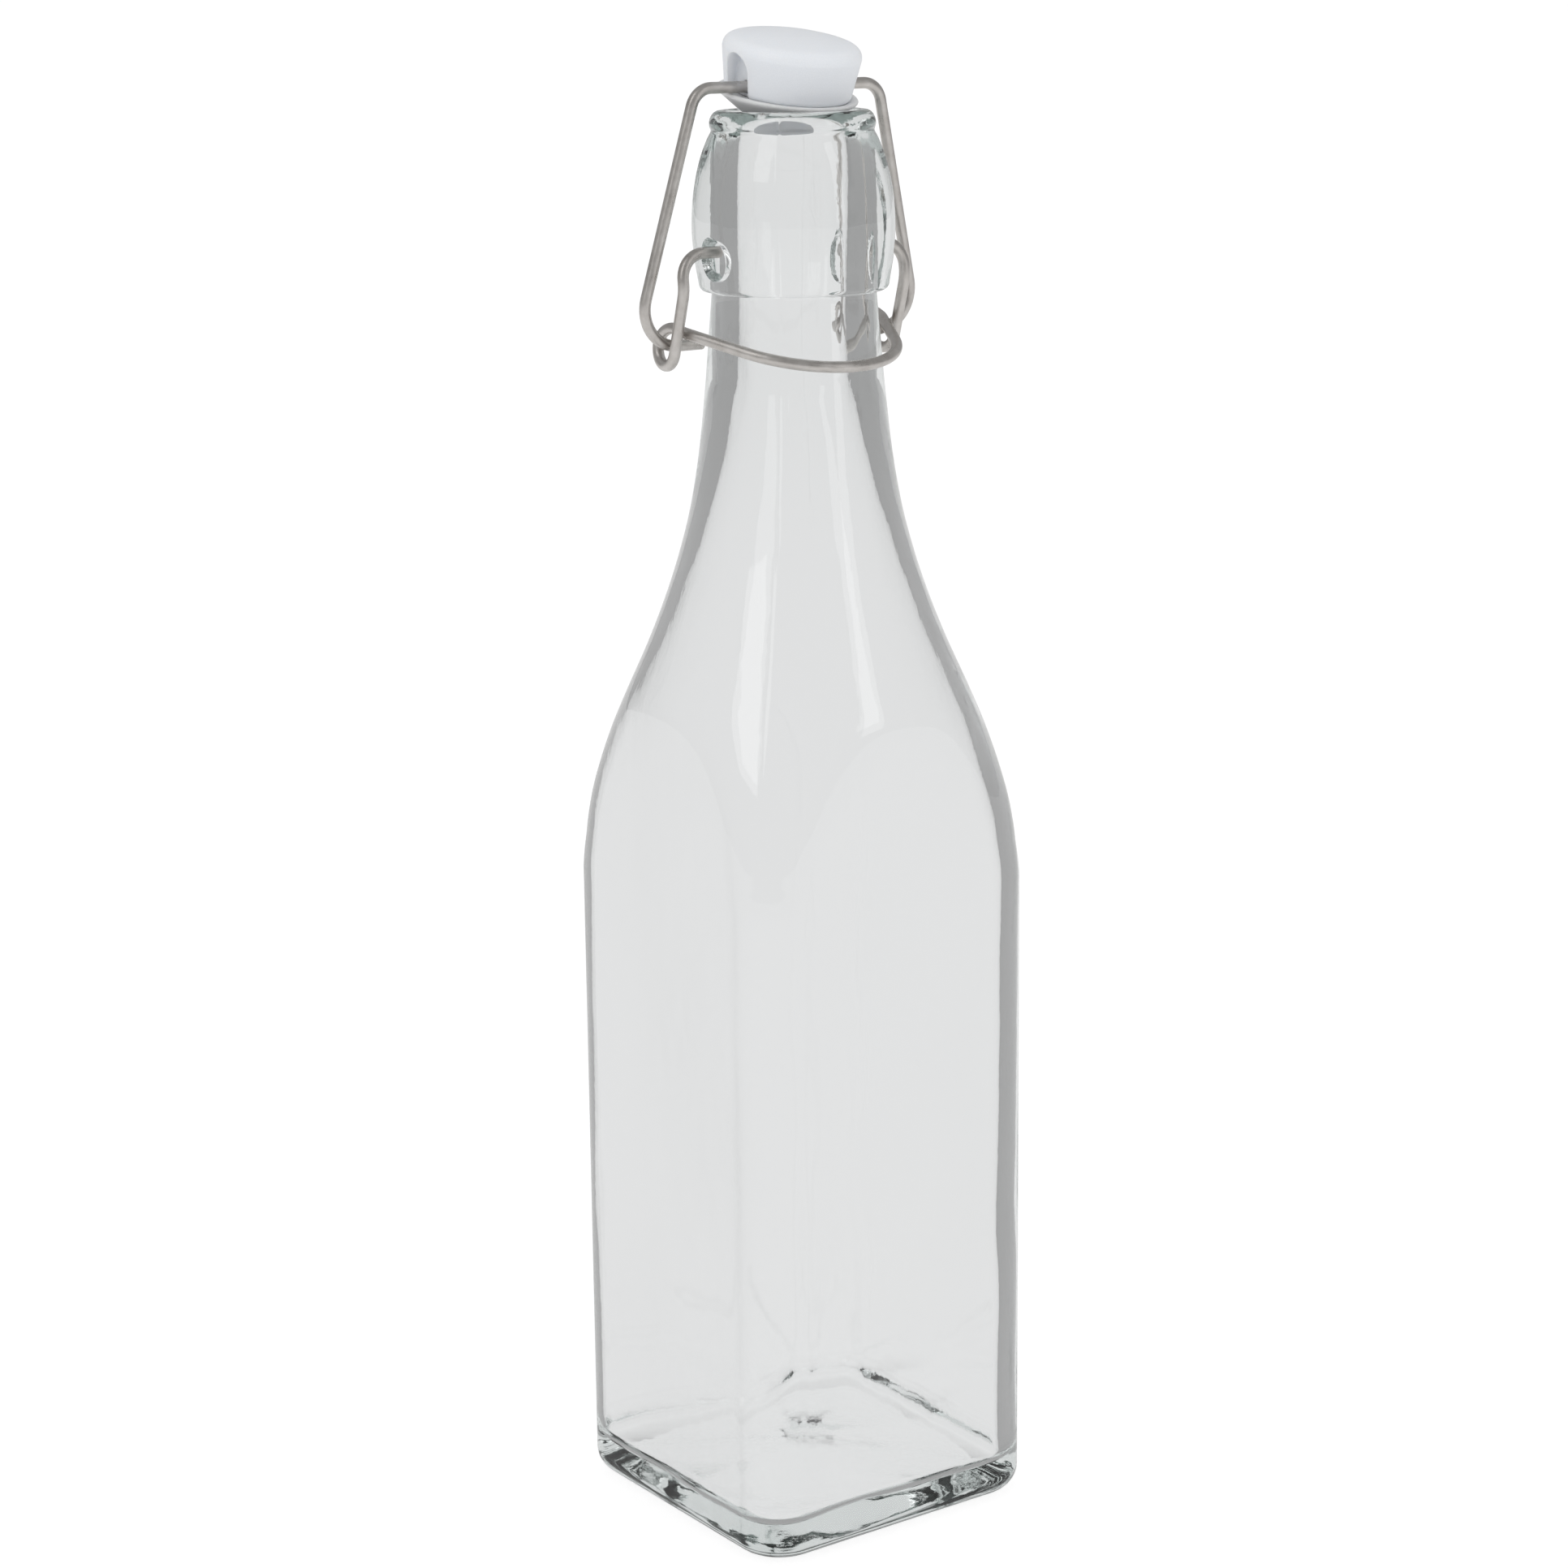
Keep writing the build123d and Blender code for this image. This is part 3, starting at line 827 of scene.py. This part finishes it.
# The floor is white to the camera, and as through_glass says through the bottle.
around = [(-FLOOR_HALF, -FLOOR_HALF), (FLOOR_HALF, -FLOOR_HALF)]
around += [(FLOOR_HALF, FLOOR_HALF), (-FLOOR_HALF, FLOOR_HALF)]
floor_mesh = new_object("floor", [(x, y, FLOOR_HEIGHT) for x, y in around], [(0, 1, 2, 3)])
floor_made, nodes, links, shader = material("floor")
shader.inputs["Roughness"].default_value = 0.8
paper = noise(nodes, 40.0, 4.0)
paper_tone = ramp(nodes, [(0.3, (0.90,) * 3), (0.7, (0.93,) * 3)])
links.new(paper.outputs["Fac"], paper_tone.inputs["Fac"])
links.new(paper_tone.outputs["Color"], shader.inputs["Base Color"])
glow = nodes.new("ShaderNodeEmission")
choice = nodes.new("ShaderNodeMix")
choice.data_type = "FLOAT"
links.new(only_for(nodes, links, "Is Camera Ray", 0.0, 1.0), choice.inputs[0])
links.new(through_glass(nodes, links, 3.0), choice.inputs[2])
choice.inputs[3].default_value = 1.12
links.new(choice.outputs[0], glow.inputs["Strength"])
lit = nodes.new("ShaderNodeMixShader")
share = nodes.new("ShaderNodeMath")
share.operation = "MAXIMUM"
links.new(only_for(nodes, links, "Is Camera Ray", 0.0, 0.78), share.inputs[0])
links.new(only_for(nodes, links, "Is Transmission Ray", 0.0, 1.0), share.inputs[1])
links.new(share.outputs["Value"], lit.inputs["Fac"])
links.new(shader.outputs["BSDF"], lit.inputs[1])
links.new(glow.outputs["Emission"], lit.inputs[2])
links.new(lit.outputs["Shader"], nodes["Material Output"].inputs["Surface"])
floor_mesh.data.materials.append(floor_made)

world = bpy.data.worlds.new("studio")
bpy.context.scene.world = world
world.use_nodes = True
nodes, links = world.node_tree.nodes, world.node_tree.links
# White to the camera, darker in the wires, and as through_glass says through the bottle.
plain = nodes.new("ShaderNodeMath")
plain.operation = "SUBTRACT"
links.new(only_for(nodes, links, "Is Camera Ray", 0.90, 1.02), plain.inputs[0])
links.new(only_for(nodes, links, "Is Glossy Ray", 0.0, 0.5), plain.inputs[1])
total = nodes.new("ShaderNodeMix")
total.data_type = "FLOAT"
links.new(only_for(nodes, links, "Is Transmission Ray", 0.0, 1.0), total.inputs[0])
links.new(plain.outputs["Value"], total.inputs[2])
links.new(through_glass(nodes, links, 4.0), total.inputs[3])
nodes["Background"].inputs["Color"].default_value = (1, 1, 1, 1)
links.new(total.outputs[0], nodes["Background"].inputs["Strength"])


def softbox(name, azimuth, elevation, distance, size, power):
    """A rectangular light that faces the bottle's middle."""
    light = bpy.data.lights.new(name, "AREA")
    light.shape = "RECTANGLE"
    light.size, light.size_y = size
    light.energy = power
    lamp = bpy.data.objects.new(name, light)
    a = math.radians(elevation)
    way = -towards(azimuth) * math.cos(a) + Vector((0, 0, math.sin(a)))
    aim = Vector((0, 0, 0.14))
    lamp.location = aim + way * distance
    lamp.rotation_mode = "QUATERNION"
    lamp.rotation_quaternion = (-way).to_track_quat("-Z", "Y")
    bpy.context.scene.collection.objects.link(lamp)
    return lamp


softbox("left_box", VIEW_AZIMUTH - 40, elevation=42, distance=1.1, size=(0.35, 0.8), power=1.1)
softbox("right_box", VIEW_AZIMUTH + 55, elevation=25, distance=1.1, size=(0.2, 0.8), power=0.6)

pitch = math.radians(CAMERA_PITCH)
roll = math.radians(CAMERA_ROLL)
level = towards(VIEW_AZIMUTH)
ahead = level * math.cos(pitch) - Vector((0, 0, math.sin(pitch)))
above = level * math.sin(pitch) + Vector((0, 0, math.cos(pitch)))
across = ahead.cross(above)
axis_x = across * math.cos(roll) + above * math.sin(roll)
axis_y = -across * math.sin(roll) + above * math.cos(roll)
camera_data = bpy.data.cameras.new("camera")
camera_data.lens = CAMERA_LENS
camera_data.sensor_width = 36.0
camera_data.clip_start = 0.01
camera_data.clip_end = 100.0
camera = bpy.data.objects.new("camera", camera_data)
camera.matrix_world = Matrix.LocRotScale(
    Vector(CAMERA_PLACE) * MM,
    Matrix((axis_x, axis_y, -ahead)).transposed().to_quaternion(),
    None,
)
bpy.context.scene.collection.objects.link(camera)
bpy.context.scene.camera = camera

scene = bpy.context.scene
scene.view_settings.view_transform = "Standard"
# Light reflects many times inside thick glass, and fewer bounces leave black patches.
scene.cycles.max_bounces = LIGHT_BOUNCES
scene.cycles.transmission_bounces = LIGHT_BOUNCES
scene.cycles.glossy_bounces = LIGHT_BOUNCES

bpy.context.view_layer.update()
